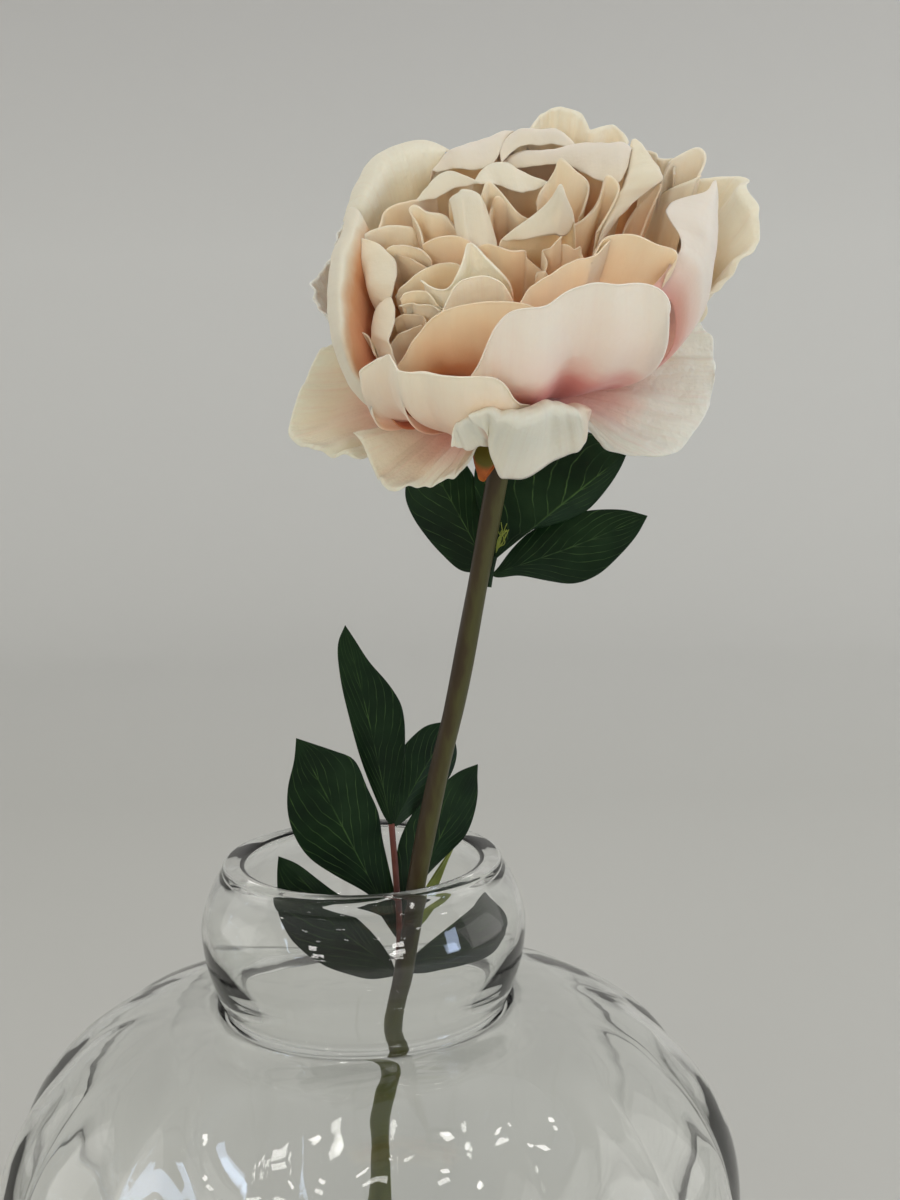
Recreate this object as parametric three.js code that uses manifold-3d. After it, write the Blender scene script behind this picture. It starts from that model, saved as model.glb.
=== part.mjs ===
// Artificial peony in a glass vase: one coated stem with a large double bloom and two leaf
// sprays, leaning on the rim of a lobed clear vase. Millimetres, +Z up. The origin is the
// middle of the vase's foot, and -Y is the side that the bloom faces.
import * as THREE from "three";
import { mergeVertices } from "three/addons/utils/BufferGeometryUtils.js";
import Module from "manifold-3d";

const wasm = await Module();
wasm.setup();

// ---------------------------------------------------------------- driving dimensions

const VASE_HEIGHT = 200;
const RIM_RADIUS = 43; // outer edge of the mouth
const MOUTH_RADIUS = 36.3; // inner edge of the mouth
const FLOOR_THICKNESS = 10;
const FOOT_RADIUS = 52; // the flat that the vase stands on
const LOBES = 15;
const LOBE_DEPTH = 4; // how far a crease lies under the lobes
const LOBE_PHASE = 7; // degrees from -Y to the first crease
const STEPS_PER_LOBE = 4;

const STEM_RADIUS = 2.85;
const STEM_SIDES = 8;
const STEM_STEPS = 24;

const GAP = 0.3; // clearance between neighbours that touch
const BLADE = 0.8; // thickness of petals, sepals and leaflets

// The bloom's own frame: HEART is the top of the calyx, and FACE the way the bloom opens.
const HEART = new THREE.Vector3(47.1, -58.6, 345.6);
const FACE = new THREE.Vector3(0, -0.62, 0.78).normalize();
const SIDE = new THREE.Vector3(1, 0, 0);
const BACK = new THREE.Vector3().crossVectors(FACE, SIDE);

// Heights over HEART of the receptacle's three storeys, each one whorl's seat.
const GUARD_SEAT = { low: -0.8, high: 2, radius: 10 };
const BOWL_SEAT = { low: 2.3, high: 6.5, radius: 11 };
const CORE_SEAT = { low: 6.8, dome: 10, radius: 11 };
const SEAT_SIDES = 10;

const LIP_START = 0.7; // how far along a petal its lip begins
const LIP_DROP = 0.35; // how far a curled lip sinks for each millimetre that it turns out
const SIDE_WAVE = 0.8; // waves down a petal's sides, as a share of those in its lip
const ROOT_WRAP = 0.25; // how much of its wrap a petal has at the root
const ROUNDING = 2.5; // power that rounds a petal's corners

// Points along the stem, foot first.
const STEM_PATH = [
  [-14, 15, 11.4],
  [-1.2, -2.6, 87.8],
  [11.6, -20.1, 164],
  [17.1, -28.1, 199],
  [24.1, -35, 233.2],
  [29.9, -40, 257.8],
  [36.8, -47.1, 293],
  [42.6, -52.4, 322.8],
  [44.1, -53.5, 330.1],
];
// The calyx's neck goes on from the stem's top and turns to the way the bloom faces.
const NECK_PATH = [
  [44.3, -53.65, 330.85],
  [46.1, -54, 336],
  [47.1, -54.9, 340.9],
  [47.1, -57.3, 344],
];
const NECK_RADIUS = 3.1;

const COLOURS = {
  glass: 0xdfe6e4,
  stem: 0x433e20,
  calyx: 0x544f1c,
  guard: 0xcccbb7,
  bowl: 0xd8c6bb,
  heart: 0xd2ae8c,
  leaf: 0x1a2d19,
};

// ---------------------------------------------------------------- solids and meshes

/** The closed solid inside a geometry's faces. */
function solidOf(geometry) {
  const bare = geometry.index ? geometry.toNonIndexed() : geometry.clone();
  bare.deleteAttribute("normal");
  bare.deleteAttribute("uv");
  const merged = mergeVertices(bare, 1e-4);
  const corners = merged.index.array;
  const kept = [];
  for (let i = 0; i < corners.length; i += 3) {
    const [a, b, c] = [corners[i], corners[i + 1], corners[i + 2]];
    if (a !== b && b !== c && c !== a) kept.push(a, b, c);
  }
  return new wasm.Manifold(
    new wasm.Mesh({
      numProp: 3,
      vertProperties: new Float32Array(merged.attributes.position.array),
      triVerts: new Uint32Array(kept),
    }),
  );
}

/** A named mesh of a solid's largest body, without the scraps and sealed hollows of a join. */
function meshOf(name, solid, look) {
  const bodies = solid.decompose();
  const largest = bodies.reduce((best, body) => (body.volume() > best.volume() ? body : best));
  const data = largest.getMesh();
  const geometry = new THREE.BufferGeometry();
  geometry.setAttribute("position", new THREE.BufferAttribute(data.vertProperties, 3));
  geometry.setIndex(new THREE.BufferAttribute(data.triVerts, 1));
  geometry.computeVertexNormals();
  const mesh = new THREE.Mesh(geometry, new THREE.MeshStandardMaterial(look));
  mesh.name = name;
  return mesh;
}

/** All the solids joined into one. */
const join = (solids) => solids.reduce((sum, solid) => sum.add(solid));

/**
 * A blade: both faces of surface(u, v), u from -1 to 1 across and v from 0 to 1 along, half the
 * thickness to either side, closed round the edge, with both faces split the same way.
 */
function blade(surface, across, along, thickness) {
  const columns = across + 1;
  const count = columns * (along + 1);
  const small = 0.01;
  const corners = [];
  for (const face of [0.5, -0.5]) {
    for (let j = 0; j <= along; j++) {
      for (let i = 0; i <= across; i++) {
        const [u, v] = [(2 * i) / across - 1, j / along];
        const point = surface(u, v);
        const alongU = surface(u + small, v).sub(surface(u - small, v));
        const alongV = surface(u, v + small).sub(surface(u, v - small));
        const normal = alongU.cross(alongV).normalize();
        corners.push(...point.addScaledVector(normal, face * thickness).toArray());
      }
    }
  }
  const faces = [];
  const quad = (a, b, c, d) => faces.push(a, b, c, a, c, d);
  for (let j = 0; j < along; j++) {
    for (let i = 0; i < across; i++) {
      const a = j * columns + i;
      const [b, c, d] = [a + 1, a + 1 + columns, a + columns];
      quad(a, b, c, d);
      faces.push(count + a, count + c, count + b, count + a, count + d, count + c);
    }
  }
  const border = [];
  for (let i = 0; i < across; i++) border.push(i);
  for (let j = 0; j < along; j++) border.push(j * columns + across);
  for (let i = across; i > 0; i--) border.push(along * columns + i);
  for (let j = along; j > 0; j--) border.push(j * columns);
  border.forEach((a, k) => {
    const b = border[(k + 1) % border.length];
    quad(b, a, count + a, count + b);
  });
  const geometry = new THREE.BufferGeometry();
  geometry.setAttribute("position", new THREE.Float32BufferAttribute(corners, 3));
  geometry.setIndex(faces);
  return solidOf(geometry);
}

/** A round bar of the given radius along a smooth curve through the points. */
function bar(points, radius, sides, steps) {
  const corners = [];
  for (let i = 0; i < sides; i++) {
    const turn = (2 * Math.PI * i) / sides;
    corners.push(new THREE.Vector2(radius * Math.cos(turn), radius * Math.sin(turn)));
  }
  const extrudePath = new THREE.CatmullRomCurve3(points.map((p) => new THREE.Vector3(...p)));
  return solidOf(new THREE.ExtrudeGeometry(new THREE.Shape(corners), { steps, extrudePath }));
}

// ---------------------------------------------------------------- vase

// Heights below are measured down from the top of the rim.
const VASE_OUTSIDE = [
  [74, -193], [95, -174], [110, -147], [117, -119], [115, -94], [103.5, -71], [85, -55],
  [64, -47], [51, -45.4], [43.4, -48.2], [44.6, -43.6], [48.7, -34], [50.3, -22], [48.6, -11],
  [RIM_RADIUS, -1.4],
];
const VASE_INSIDE = [
  [MOUTH_RADIUS, -1], [42, -10], [45.2, -20], [43.8, -31], [37.4, -44], [38.4, -50.5],
  [66, -53.6], [90, -65], [107, -86], [112, -114], [105, -146], [82, -178],
];
const CREASE_TOP = -46; // no crease above the shoulder
const CREASE_FULL = -66;
const CREASE_FADE = -186; // and none under the foot

/** How deep the creases are at a height under the rim, from 0 to 1. */
function creaseAt(height) {
  const top = THREE.MathUtils.smoothstep(-height, -CREASE_TOP, -CREASE_FULL);
  const foot = THREE.MathUtils.smoothstep(height, -VASE_HEIGHT, CREASE_FADE);
  return top * foot;
}

function vase() {
  const outside = VASE_OUTSIDE.map(([radius, height]) => new THREE.Vector2(radius, height));
  const inside = VASE_INSIDE.map(([radius, height]) => new THREE.Vector2(radius, height));
  const profile = [
    new THREE.Vector2(0, -VASE_HEIGHT),
    new THREE.Vector2(FOOT_RADIUS, -VASE_HEIGHT),
    ...outside,
    new THREE.Vector2(RIM_RADIUS - 1, 0),
    new THREE.Vector2(MOUTH_RADIUS + 1, 0),
    ...inside,
    new THREE.Vector2(FOOT_RADIUS, FLOOR_THICKNESS - VASE_HEIGHT),
    new THREE.Vector2(0, FLOOR_THICKNESS - VASE_HEIGHT),
  ];
  const geometry = new THREE.LatheGeometry(profile, LOBES * STEPS_PER_LOBE);
  const points = geometry.attributes.position;
  const phase = THREE.MathUtils.degToRad(LOBE_PHASE);
  for (let i = 0; i < points.count; i++) {
    const height = points.getY(i);
    const radius = Math.hypot(points.getX(i), points.getZ(i));
    const turn = Math.atan2(points.getX(i), points.getZ(i));
    const lobe = Math.abs(Math.sin((LOBES * turn) / 2));
    const pinched = Math.max(0, radius - LOBE_DEPTH * creaseAt(height) * (1 - lobe));
    const [x, y] = [pinched * Math.sin(turn + phase), -pinched * Math.cos(turn + phase)];
    points.setXYZ(i, x, y, VASE_HEIGHT + height);
  }
  return solidOf(geometry);
}

// ---------------------------------------------------------------- bloom

/** A point in the bloom's frame: out from its axis, round to the side, and up its axis. */
function bloomPoint(outward, out, sideways, side, height) {
  return HEART.clone()
    .addScaledVector(outward, out)
    .addScaledVector(sideways, side)
    .addScaledVector(FACE, height);
}

const PETAL = {
  turn: 0, // degrees round the bloom, from its right side towards its back
  reach: 45, // greatest distance from the axis
  rise: 45, // height there, over the root; less than 0 droops
  arc: 95, // how far along the curve the petal goes: 90 ends upright, more leans in
  width: 25, // half of the width
  wrap: 40, // degrees that each half turns round the bloom
  ruffle: 1.5, waves: 2, phase: 0, // waves in the lip and the sides
  curl: 0, // how far the lip turns out
  root: 5, seat: 4.4, // where the petal leaves the receptacle
  lean: 0, // how far the lip lies to one side
  twist: 0, // degrees from root to lip
  foot: 0.3, // width of the root as a share of the width
  widest: 0.7, lip: 0.85, round: 0.12, // where it is widest, the lip's width, its roundness
};

/** The middle surface of a petal, as a function of u across and v along. */
function petalSurface(petal) {
  const p = { ...PETAL, ...petal };
  const rad = THREE.MathUtils.degToRad;
  const outward = bloomDirection(rad(p.turn));
  const sideways = bloomDirection(rad(p.turn) + Math.PI / 2);
  const spread = p.reach - p.root;
  return (u, v) => {
    const along = v * (1 - p.round * Math.abs(u) ** ROUNDING);
    const turn = rad(p.arc) * along;
    const lip = Math.max(0, (along - LIP_START) / (1 - LIP_START)) ** 2;
    const out = p.root + spread * Math.sin(turn) + p.curl * lip;
    const height = p.seat + p.rise * (1 - Math.cos(turn)) - LIP_DROP * Math.abs(p.curl) * lip;
    const slope = Math.atan2(p.rise * Math.sin(turn), spread * Math.cos(turn));
    const grown = v < p.widest
      ? p.foot + (1 - p.foot) * Math.sin(((Math.PI / 2) * v) / p.widest)
      : 1 - (1 - p.lip) * ((v - p.widest) / (1 - p.widest)) ** 2;
    const wrap = rad(p.wrap) * (ROOT_WRAP + (1 - ROOT_WRAP) * Math.min(1, 2 * v));
    const bow = (p.width * grown) / wrap;
    const wave = Math.sin(Math.PI * p.waves * u + rad(p.phase)) * v * v;
    const edge = Math.sin(Math.PI * (p.waves * v + 0.5) + 2 * rad(p.phase)) * Math.abs(u) ** 3 * v;
    const side = bow * Math.sin(u * wrap);
    const inward = bow * (1 - Math.cos(u * wrap)) + p.ruffle * (wave + SIDE_WAVE * edge);
    const twist = rad(p.twist) * v;
    const across = side * Math.cos(twist) - inward * Math.sin(twist);
    const lifted = side * Math.sin(twist) + inward * Math.cos(twist);
    return bloomPoint(
      outward, out - lifted * Math.sin(slope),
      sideways, across + p.lean * v * v,
      height + lifted * Math.cos(slope),
    );
  };
}

/** The direction out from the bloom's axis at an angle round it. */
function bloomDirection(angle) {
  return SIDE.clone().multiplyScalar(Math.cos(angle)).addScaledVector(BACK, Math.sin(angle));
}

/** A solid of revolution about the bloom's axis. */
function turned(profile) {
  const points = profile.map(([radius, height]) => new THREE.Vector2(radius, height));
  const geometry = new THREE.LatheGeometry(points, SEAT_SIDES);
  geometry.applyMatrix4(new THREE.Matrix4().makeBasis(BACK, FACE, SIDE).setPosition(HEART));
  return solidOf(geometry);
}

const GUARD_PETALS = [
  { turn: -9, reach: 48, rise: -3, arc: 95, width: 23, wrap: -14, ruffle: 1.2, round: 0.22 },
  { turn: 276, reach: 25, rise: -7, arc: 106, width: 15, wrap: -20, phase: 150, round: 0.1 },
  { turn: 228, reach: 36, rise: -6, arc: 100, width: 15, wrap: -12, phase: 60, round: 0.2 },
  { turn: 185, reach: 54, rise: -1.5, arc: 90, width: 18, wrap: -8, phase: 210, round: 0.2 },
  { turn: 16, reach: 60, rise: 47, arc: 92, width: 19, wrap: 34, phase: 0 },
  { turn: 80, reach: 48, rise: 49, arc: 96, width: 18, wrap: 34, ruffle: 2, phase: 30 },
  { turn: 172, reach: 51, rise: 33, arc: 92, width: 20, wrap: 40, phase: 0, round: 0.2 },
].map((petal) => ({ seat: 0.6, waves: 1.7, ...petal }));

const BOWL_PETALS = [
  { turn: 270, reach: 42, rise: 43, arc: 108, width: 25, wrap: 38, waves: 2.1, phase: 40 },
  { turn: 308, reach: 45, rise: 46, arc: 106, width: 26, wrap: 40, waves: 1.9, phase: 200 },
  { turn: 236, reach: 43, rise: 33, arc: 98, width: 27, wrap: 42, waves: 1.5, phase: 90 },
  { turn: 186, reach: 45, rise: 40, arc: 100, width: 27, wrap: 50, waves: 1.5, curl: 3 },
  { turn: 142, reach: 45, rise: 44, arc: 97, width: 28, wrap: 50, waves: 1.2, phase: 60, curl: 6 },
  { turn: 106, reach: 42, rise: 40, arc: 100, width: 25, wrap: 46, ruffle: 2, waves: 2.2, curl: 3 },
  { turn: 72, reach: 43, rise: 41, arc: 102, width: 25, wrap: 46, ruffle: 2, phase: 120 },
  { turn: 42, reach: 45, rise: 44, arc: 101, width: 23, wrap: 46, ruffle: 1.8, phase: 250 },
  { turn: 14, reach: 47, rise: 50, arc: 102, width: 23, wrap: 46, waves: 1.6, phase: 20 },
  { turn: -16, reach: 49, rise: 53, arc: 105, width: 23, wrap: 44, waves: 1.6, phase: 160 },
];

// The whorls of curled petals inside the bowl, outermost first.
const WHORLS = [
  { petals: 8, root: 8, seat: 8, reach: 36, width: 17, lift: -2, start: 101 },
  { petals: 7, root: 7, seat: 9.2, reach: 27.5, width: 14, lift: 0, start: 18 },
  { petals: 6, root: 5, seat: 10.4, reach: 19, width: 11.5, lift: 0, start: 5 },
  { petals: 4, root: 3, seat: 11.6, reach: 11, width: 9.5, lift: -2, start: 30 },
  { petals: 2, root: 1, seat: 12.8, reach: 4, width: 8, lift: -5, start: 0 },
];
const HEART_HEIGHT = 45; // how high the whorls' lips stand on average
const HEART_SLOPE = 10; // and how much higher on the bloom's right side
const HEART_REACH = 38; // the distance from the axis that this slope is given for

/** Even but irregular numbers from 0 to 1, the same each time. */
function seededRandom(seed) {
  let state = seed;
  return () => {
    state = (state * 1664525 + 1013904223) % 4294967296;
    return state / 4294967296;
  };
}

function innerPetals() {
  const random = seededRandom(7);
  const between = (low, high) => low + (high - low) * random();
  const petals = [];
  for (const whorl of WHORLS) {
    for (let i = 0; i < whorl.petals; i++) {
      const turn = whorl.start + (360 * i) / whorl.petals + between(-6, 6);
      const arc = between(96, 114);
      const tilt = Math.cos(THREE.MathUtils.degToRad(turn - 10)) * (whorl.reach / HEART_REACH);
      const top = HEART_HEIGHT + HEART_SLOPE * tilt + whorl.lift - whorl.seat;
      petals.push({
        turn, arc, root: whorl.root, seat: whorl.seat,
        reach: whorl.reach * between(0.95, 1.04),
        rise: (top * between(0.93, 1.05)) / (1 - Math.cos(THREE.MathUtils.degToRad(arc))),
        width: whorl.width * between(0.88, 1.08),
        wrap: between(32, 62), ruffle: 1.8, waves: 1.6, phase: between(0, 360),
        curl: between(-3, 3), lean: between(-4, 4), twist: between(-20, 20), foot: 0.4,
      });
    }
  }
  return petals;
}

/** A whorl of petals, each a blade of its own, joined to the seat that they grow from. */
function whorlOf(petals, seat, across, along, thickness) {
  const blades = petals.map((petal) => blade(petalSurface(petal), across, along, thickness));
  return join([seat, ...blades]);
}

function bloom() {
  const thick = BLADE + 3 * GAP;
  const guardSeat = turned([
    [0, GUARD_SEAT.low], [GUARD_SEAT.radius, GUARD_SEAT.low],
    [GUARD_SEAT.radius, GUARD_SEAT.high], [0, GUARD_SEAT.high],
  ]);
  const bowlSeat = turned([
    [0, BOWL_SEAT.low], [BOWL_SEAT.radius, BOWL_SEAT.low],
    [BOWL_SEAT.radius, BOWL_SEAT.high], [0, BOWL_SEAT.high],
  ]);
  const { low, dome, radius } = CORE_SEAT;
  const coreSeat = turned([
    [0, low], [radius, low], [radius, low + 2],
    [0.7 * radius, low + 0.72 * dome], [0, low + dome],
  ]);
  const bowl = whorlOf(BOWL_PETALS, bowlSeat, 5, 5, BLADE);
  const bowlRoom = join([
    turned([
      [0, BOWL_SEAT.low - GAP], [BOWL_SEAT.radius + GAP, BOWL_SEAT.low - GAP],
      [BOWL_SEAT.radius + GAP, BOWL_SEAT.high + GAP], [0, BOWL_SEAT.high + GAP],
    ]),
    ...BOWL_PETALS.map((petal) => {
      const surface = petalSurface(petal);
      return blade((u, v) => surface(1.03 * u, 1.02 * v), 5, 5, thick);
    }),
  ]);
  const heart = whorlOf(innerPetals(), coreSeat, 3, 4, BLADE).subtract(bowlRoom);
  const guard = whorlOf(GUARD_PETALS, guardSeat, 5, 5, BLADE).subtract(bowlRoom);
  return { bowl, heart, guard };
}

// ---------------------------------------------------------------- calyx

const SEPALS = [
  { turn: 246, reach: 22, rise: -9, arc: 100 },
  { turn: 318, reach: 19, rise: -7, arc: 90 },
  { turn: 30, reach: 20, rise: -5, arc: 80 },
  { turn: 102, reach: 19, rise: -5, arc: 80 },
  { turn: 174, reach: 20, rise: -6, arc: 90 },
].map((sepal) => ({ ...sepal, width: 6, wrap: 24, ruffle: 0.6, root: 3, seat: -3.4, lip: 0.35,
  foot: 0.6, widest: 0.45, round: 0.3 }));

function calyx() {
  const cup = turned([
    [0, -7], [3.4, -7], [6.5, -4.6], [8, -2.2], [8, GUARD_SEAT.low - GAP],
    [0, GUARD_SEAT.low - GAP],
  ]);
  return whorlOf(SEPALS, cup, 2, 4, BLADE).add(bar(NECK_PATH, NECK_RADIUS, STEM_SIDES, 4));
}

// ---------------------------------------------------------------- stem and leaves

const LEAFLET = {
  from: [0, 0, 0], to: [0, 0, 50], width: 10, // root, tip and half of the width
  facing: [0, -1, 0.2], // the way the upper face looks
  arch: 3, // how far the middle bows out
  fold: 1.2, // how far the midrib lies under the two halves
  widest: 0.48,
};
const STALK_WIDTH = 0.9;
const TIP_WIDTH = 0.4;

/** The middle surface of a leaflet, as a function of u across and v along. */
function leafletSurface(leaflet) {
  const p = { ...LEAFLET, ...leaflet };
  const from = new THREE.Vector3(...p.from);
  const axis = new THREE.Vector3(...p.to).sub(from);
  const facing = new THREE.Vector3(...p.facing);
  const across = axis.clone().cross(facing).normalize().negate();
  const up = across.clone().cross(axis).normalize();
  const bulge = Math.log(0.5) / Math.log(p.widest);
  return (u, v) => {
    const bounded = Math.min(1, Math.max(0, v));
    const swell = Math.sin(Math.PI * bounded ** bulge) ** 0.85;
    const half = STALK_WIDTH * (1 - v) + TIP_WIDTH * v + p.width * swell;
    const lift = p.arch * 4 * v * (1 - v) + p.fold * swell * Math.abs(u) ** 1.3;
    return from.clone()
      .addScaledVector(axis, v)
      .addScaledVector(across, u * half)
      .addScaledVector(up, lift);
  };
}

const UPPER_STALK = [[39.6, -44.2, 290.6], [40.4, -43.4, 295], [41.4, -42.8, 299]];
const UPPER_LEAFLETS = [
  { from: [40.2, -43.4, 295], to: [20.7, -26, 330], width: 8.2, facing: [-0.2, -1, 0.3] },
  { from: [41, -43, 297.5], to: [80.9, -22, 325.8], width: 9.6, facing: [0.2, -1, 0.5] },
  { from: [40.4, -43.4, 294], to: [85.7, -30, 308], width: 7.6, facing: [0.1, -1, 0.6] },
];

const LOWER_STALK = [
  [10.2, -15.9, 163.4], [10.8, -15.6, 172], [11.1, -15.2, 182], [10.8, -14.2, 197], [9.8, -13, 214],
];
const LOWER_LEAFLETS = [
  { from: [9.8, -13, 213], to: [-2.2, -16, 275.9], width: 9.6, facing: [-0.1, -1, 0] },
  { from: [9.9, -13, 212.5], to: [29.5, 12, 240], width: 8.4, facing: [0.5, -1, 0.4] },
  { from: [10.9, -15.2, 180], to: [-17.3, -22, 243.4], width: 11.6, facing: [0.1, -1, 0] },
  { from: [11.2, -15.2, 180], to: [36.5, 0, 228.8], width: 8.6, facing: [0.5, -1, 0.2] },
  { from: [10.4, -15.8, 167], to: [-24.7, -13, 204.8], width: 8.6, facing: [0, -1, 0.3] },
  { from: [10.6, -15.6, 168], to: [40, 4, 181], width: 7.8, facing: [0.4, -1, 0.3] },
  { from: [11.1, -15.2, 178], to: [29.7, 2, 200], width: 2.2, facing: [0.6, -1, 0] },
];
const STALK_RADIUS = 1.1;

/** A spray of leaflets joined to the stalk that carries them. */
function spray(stalk, leaflets) {
  const blades = leaflets.map((leaflet) => blade(leafletSurface(leaflet), 4, 6, BLADE));
  return join([bar(stalk, STALK_RADIUS, 6, 8), ...blades]);
}

// ---------------------------------------------------------------- the whole

const whorls = bloom();
const petalLook = { roughness: 0.75, metalness: 0 };
const leafLook = { color: COLOURS.leaf, roughness: 0.5, metalness: 0 };

const group = new THREE.Group();
group.add(
  meshOf("vase", vase(), {
    color: COLOURS.glass, roughness: 0.05, metalness: 0, transparent: true, opacity: 0.35,
  }),
  meshOf("stem", bar(STEM_PATH, STEM_RADIUS, STEM_SIDES, STEM_STEPS), {
    color: COLOURS.stem, roughness: 0.6, metalness: 0,
  }),
  meshOf("calyx", calyx(), { color: COLOURS.calyx, roughness: 0.6, metalness: 0 }),
  meshOf("guard_petals", whorls.guard, { color: COLOURS.guard, ...petalLook }),
  meshOf("bowl_petals", whorls.bowl, { color: COLOURS.bowl, ...petalLook }),
  meshOf("inner_petals", whorls.heart, { color: COLOURS.heart, ...petalLook }),
  meshOf("upper_leaf_spray", spray(UPPER_STALK, UPPER_LEAFLETS), leafLook),
  meshOf("lower_leaf_spray", spray(LOWER_STALK, LOWER_LEAFLETS), leafLook),
);

export default group;
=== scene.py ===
"""Looks of an artificial peony in a lobed glass vase.

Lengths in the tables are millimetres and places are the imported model's: the origin is the middle of
the vase's foot, +Z is up, and -Y is the side that the bloom faces. Lights and the room are in metres.
"""
import math
import random

import bpy
from mathutils import Matrix, Vector, noise


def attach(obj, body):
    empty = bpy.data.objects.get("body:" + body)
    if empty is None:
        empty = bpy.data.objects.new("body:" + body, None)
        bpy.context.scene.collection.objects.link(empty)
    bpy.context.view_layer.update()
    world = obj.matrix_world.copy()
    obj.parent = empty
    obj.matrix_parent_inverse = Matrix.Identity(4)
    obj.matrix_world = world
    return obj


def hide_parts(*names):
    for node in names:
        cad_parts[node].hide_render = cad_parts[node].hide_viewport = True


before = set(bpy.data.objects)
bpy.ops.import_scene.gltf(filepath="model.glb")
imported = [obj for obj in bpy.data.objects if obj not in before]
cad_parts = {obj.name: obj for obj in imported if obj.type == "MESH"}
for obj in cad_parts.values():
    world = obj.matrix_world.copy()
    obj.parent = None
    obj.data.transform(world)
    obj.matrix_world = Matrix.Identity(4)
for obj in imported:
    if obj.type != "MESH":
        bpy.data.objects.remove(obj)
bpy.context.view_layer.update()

MM = 0.001
MERGE = 0.01 * MM  # points closer than this are one

# The bloom's own frame: HEART is the top of the calyx, FACE the way the bloom opens. A place in it is
# (degrees round from the right side towards the back, reach from the axis, height over the heart).
HEART = Vector((47.1, -58.6, 345.6))
FACE = Vector((0, -0.62, 0.78)).normalized()
SIDE = Vector((1, 0, 0))
BACK = FACE.cross(SIDE)


# ---------- curves and places

def around(turn, reach, height):
    """A place in the bloom's frame, as x to its right, y to its back and z up its axis."""
    angle = math.radians(turn)
    return Vector((reach * math.cos(angle), reach * math.sin(angle), height))


def in_bloom(place):
    """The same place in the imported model's frame, in metres."""
    return (HEART + SIDE * place.x + BACK * place.y + FACE * place.z) * MM


def through(points):
    """A smooth curve through the points, as a function of how far along it is, from 0 to 1."""
    points = [Vector(point) for point in points]
    stops = [0.0]
    for a, b in zip(points, points[1:]):
        stops.append(stops[-1] + (b - a).length)
    stops = [stop / stops[-1] for stop in stops]
    slopes = []
    for i in range(len(points)):
        before, after = max(i - 1, 0), min(i + 1, len(points) - 1)
        slopes.append((points[after] - points[before]) / (stops[after] - stops[before]))

    def at(share):
        share = min(max(share, 0.0), 1.0)
        i = max(k for k in range(len(stops) - 1) if stops[k] <= share)
        gap = stops[i + 1] - stops[i]
        return hermite(points[i], slopes[i] * gap, points[i + 1], slopes[i + 1] * gap,
                       (share - stops[i]) / gap)

    return at


def hermite(start, leaving, end, arriving, t):
    """The point at t on the curve that leaves start one way and arrives at end another way."""
    return (start * (2 * t**3 - 3 * t**2 + 1) + leaving * (t**3 - 2 * t**2 + t)
            + end * (3 * t**2 - 2 * t**3) + arriving * (t**3 - t**2))


def smooth(value, low, high):
    """0 below low, 1 above high, and an even rise between."""
    share = min(max((value - low) / (high - low), 0), 1)
    return share * share * (3 - 2 * share)


# ---------- meshes

def deselect():
    bpy.ops.object.select_all(action="DESELECT")


def pick(piece):
    deselect()
    piece.select_set(True)
    bpy.context.view_layer.objects.active = piece


def open_mesh(piece):
    """Starts work on a piece's mesh with all of it selected."""
    pick(piece)
    bpy.ops.object.mode_set(mode="EDIT")
    bpy.ops.mesh.select_all(action="SELECT")


def close_mesh():
    """Turns the faces of the open mesh outwards, ends the work on it and shades it smooth."""
    bpy.ops.mesh.select_all(action="SELECT")
    bpy.ops.mesh.normals_make_consistent(inside=False)
    bpy.ops.object.mode_set(mode="OBJECT")
    bpy.ops.object.shade_smooth()


def grid(name, across, along, place):
    """A grid with u from -1 to 1 across and v from 0 to 1 along, each point put at place(u, v)."""
    deselect()
    bpy.ops.mesh.primitive_grid_add(x_subdivisions=across, y_subdivisions=along, size=2)
    piece = bpy.context.object
    piece.name = piece.data.name = name
    for vertex in piece.data.vertices:
        vertex.co = place(vertex.co.x, (vertex.co.y + 1) / 2)
    return piece


def apply(piece, kind, **settings):
    """Adds a modifier with its settings and applies it."""
    pick(piece)
    modifier = piece.modifiers.new(kind.title(), kind)
    for name, value in settings.items():
        setattr(modifier, name, value)
    bpy.ops.object.modifier_apply(modifier=modifier.name)


def thicken(piece, thickness):
    """Gives a sheet its thickness, inwards, and rounds its edge."""
    apply(piece, "SOLIDIFY", thickness=thickness * MM, offset=-1, use_even_offset=False)
    apply(piece, "SUBSURF", levels=1, render_levels=1)
    bpy.ops.object.shade_smooth()


def joined(name, pieces):
    """One piece of several."""
    deselect()
    for piece in pieces:
        piece.select_set(True)
    bpy.context.view_layer.objects.active = pieces[0]
    bpy.ops.object.join()
    pieces[0].name = pieces[0].data.name = name
    return pieces[0]


def tube(name, path, radius, sides, steps):
    """A round bar along a smooth curve through the path's points, its radius a function of (turn, v)."""
    middle = through(path)
    step = 0.01

    def place(u, v):
        ahead = (middle(min(v + step, 1)) - middle(max(v - step, 0))).normalized()
        right = (SIDE - ahead * SIDE.dot(ahead)).normalized()
        back = ahead.cross(right)
        turn = math.pi * u
        out = right * math.cos(turn) + back * math.sin(turn)
        return (middle(v) + out * radius(turn, v)) * MM

    piece = grid(name, sides, steps, place)
    close_ends(piece)
    return piece


def close_ends(piece):
    """Merges the seam of a rolled grid and closes each of its ends with a face."""
    open_mesh(piece)
    bpy.ops.mesh.remove_doubles(threshold=MERGE)
    bpy.ops.mesh.select_all(action="DESELECT")
    bpy.ops.mesh.select_mode(type="EDGE")
    bpy.ops.mesh.select_non_manifold()
    bpy.ops.mesh.edge_face_add()
    close_mesh()


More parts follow.
